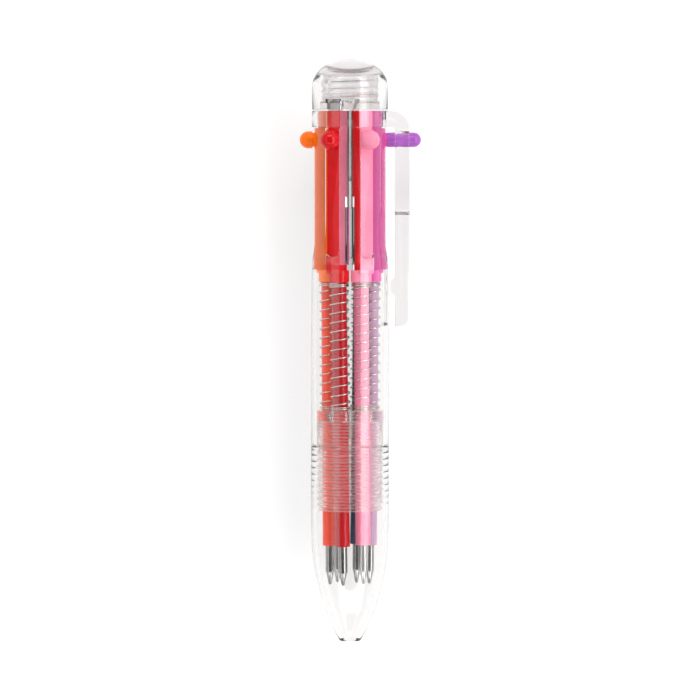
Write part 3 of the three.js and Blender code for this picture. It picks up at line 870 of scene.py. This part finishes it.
dome_top = up_pen("dome_cap", 1)
DOME_SHOULDER = 138.55
DOME_BORE = 7.9
CEILING = 141.5
sweep = np.linspace(0, np.pi / 2, 49)
dome_back = np.stack([COLLAR_RADIUS * np.cos(sweep),
                      DOME_SHOULDER + (dome_top - DOME_SHOULDER) * np.sin(sweep)], -1)
dome_back[-1, 0] = 0
dome_outline = np.vstack([
    rounded([(0, CEILING, 0), (DOME_BORE, CEILING, 0.35), (DOME_BORE, dome_foot, 0.1),
             (COLLAR_RADIUS, dome_foot, 0.15), (COLLAR_RADIUS, DOME_SHOULDER - 1, 0)], closed=False),
    dome_back,
])
dome = piece_of("dome_cap_moulding", turned(dome_outline))
smooth(dome)
done(dome, clear, "barrel", "clear_plastic", "dome_cap")

# ---------------------------------------------------------------- Table, light and camera
# The pen lies on a white light table, with a long soft box on either side and one past each
# end. The room is pale at the horizon and darkens upwards, with a small bright patch overhead.

TABLE_HALF = 1.2
floor_mesh = bpy.data.meshes.new("light_table_top")
corners = np.array([(-1, -1, 0), (1, -1, 0), (1, 1, 0), (-1, 1, 0)]) * TABLE_HALF
floor_mesh.from_pydata(corners.tolist(), [], [(0, 1, 2, 3)])
floor = bpy.data.objects.new("light_table_top", floor_mesh)
bpy.context.scene.collection.objects.link(floor)
opal = bpy.data.materials.new("light_table")
opal.use_nodes = True
opal_shader = opal.node_tree.nodes["Principled BSDF"]
opal_shader.inputs["Base Color"].default_value = (0.5, 0.5, 0.5, 1)
opal_shader.inputs["Emission Color"].default_value = (1, 1, 1, 1)
opal_shader.inputs["Emission Strength"].default_value = 0.6
opal_shader.inputs["Roughness"].default_value = 0.9
opal_shader.inputs["Specular IOR Level"].default_value = 0.1
floor_mesh.materials.append(opal)

room = bpy.data.worlds.new("room")
room.use_nodes = True
sky = room.node_tree
ray_way = sky.nodes.new("ShaderNodeTexCoord")
ray_height = sky.nodes.new("ShaderNodeSeparateXYZ")
sky_ramp = sky.nodes.new("ShaderNodeValToRGB")
stops = sky_ramp.color_ramp.elements
stops[0].color, stops[1].color = (0.75, 0.75, 0.75, 1), (1, 1, 1, 1)
PATCH_EDGE = 254 / 255      # the ramp's last step but one
stops.new(PATCH_EDGE).color = (0.0428, 0.0428, 0.0428, 1)
sky.links.new(ray_way.outputs["Generated"], ray_height.inputs["Vector"])
sky.links.new(ray_height.outputs["Z"], sky_ramp.inputs["Fac"])
sky.links.new(sky_ramp.outputs["Color"], sky.nodes["Background"].inputs["Color"])
bpy.context.scene.world = room


def soft_box(name, place, aim, size, power):
    """Rectangular area lamp at place, turned to face aim."""
    lamp = bpy.data.lights.new(name, "AREA")
    lamp.shape = "RECTANGLE"
    lamp.size, lamp.size_y = size
    lamp.energy = power
    holder = bpy.data.objects.new(name, lamp)
    bpy.context.scene.collection.objects.link(holder)
    holder.location = place
    holder.rotation_euler = (Vector(aim) - Vector(place)).to_track_quat("-Z", "Y").to_euler()


STRIP_SIZE, END_SIZE = (1.5, 0.38), (1.2, 0.2)
STRIP_AIM, END_AIM = (-0.03, 0, 0.01), (0, 0, 0.01)
soft_box("right_strip", (-0.03, -0.61, 0.60), STRIP_AIM, STRIP_SIZE, 6.0)
soft_box("left_strip", (-0.03, 0.61, 0.60), STRIP_AIM, STRIP_SIZE, 1.7)
soft_box("head_box", (0.85, 0, 0.62), END_AIM, END_SIZE, 4.0)
soft_box("foot_box", (-0.66, 0, 0.76), END_AIM, END_SIZE, 1.8)

camera_data = bpy.data.cameras.new("camera")
camera = bpy.data.objects.new("camera", camera_data)
bpy.context.scene.collection.objects.link(camera)
bpy.context.scene.camera = camera
DISTANCE = 1.2
LEAN = np.radians(2.7)
VIEW_WIDTH = 0.175          # metres across the frame at the pen
camera_data.sensor_width = 36
camera_data.lens = camera_data.sensor_width * DISTANCE / VIEW_WIDTH
camera_data.clip_start = 0.01
camera_data.clip_end = 10
camera.location = (DISTANCE * np.sin(LEAN), axis_y, axis_z + DISTANCE * np.cos(LEAN))
camera.rotation_euler = (-LEAN, 0, -np.pi / 2)

scene = bpy.context.scene
scene.view_settings.view_transform = "Standard"
scene.cycles.max_bounces = 24
scene.cycles.transmission_bounces = 24
scene.cycles.transparent_max_bounces = 40
